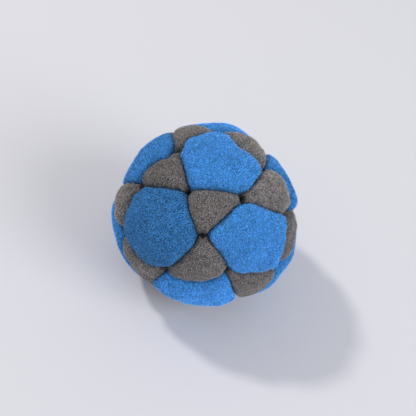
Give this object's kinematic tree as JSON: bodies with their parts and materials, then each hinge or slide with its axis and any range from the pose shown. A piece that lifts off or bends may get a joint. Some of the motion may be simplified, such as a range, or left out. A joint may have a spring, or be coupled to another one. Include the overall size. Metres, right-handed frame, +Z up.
{
  "type": "juggling ball",
  "caption": "Small soft juggling ball sewn from five-sided blue and three-sided grey suede panels round a loose bead filling.",
  "frame": {"origin": "centre of the flat patch that the filled ball settles on", "axes": "+Z up through the middles of the base panel and the top panel; -Y towards the front panel"},
  "size_m": [0.057, 0.0574, 0.0582],
  "materials": {
    "blue_suede": "matt synthetic suede with a short raised nap",
    "grey_suede": "matt synthetic suede with a short raised nap",
    "sewing_thread": "flat waxed thread",
    "closing_thread": "plain twisted thread",
    "beads": "plain moulded plastic"
  },
  "bodies": {
    "root": {"blue_top": "blue_suede", "blue_upper_1": "blue_suede", "blue_upper_2": "blue_suede", "blue_upper_3": "blue_suede", "blue_upper_4": "blue_suede", "blue_upper_5": "blue_suede", "blue_lower_1": "blue_suede", "blue_lower_2": "blue_suede", "blue_lower_3": "blue_suede", "blue_lower_4": "blue_suede", "blue_lower_5": "blue_suede", "blue_base": "blue_suede", "grey_crown_1": "grey_suede", "grey_crown_2": "grey_suede", "grey_crown_3": "grey_suede", "grey_crown_4": "grey_suede", "grey_crown_5": "grey_suede", "grey_upper_1": "grey_suede", "grey_upper_2": "grey_suede", "grey_upper_3": "grey_suede", "grey_upper_4": "grey_suede", "grey_upper_5": "grey_suede", "grey_lower_1": "grey_suede", "grey_lower_2": "grey_suede", "grey_lower_3": "grey_suede", "grey_lower_4": "grey_suede", "grey_lower_5": "grey_suede", "grey_foot_1": "grey_suede", "grey_foot_2": "grey_suede", "grey_foot_3": "grey_suede", "grey_foot_4": "grey_suede", "grey_foot_5": "grey_suede", "seam_thread": "sewing_thread", "closing_stitch": "closing_thread", "filling_beads": "beads"}
  },
  "joints": []
}
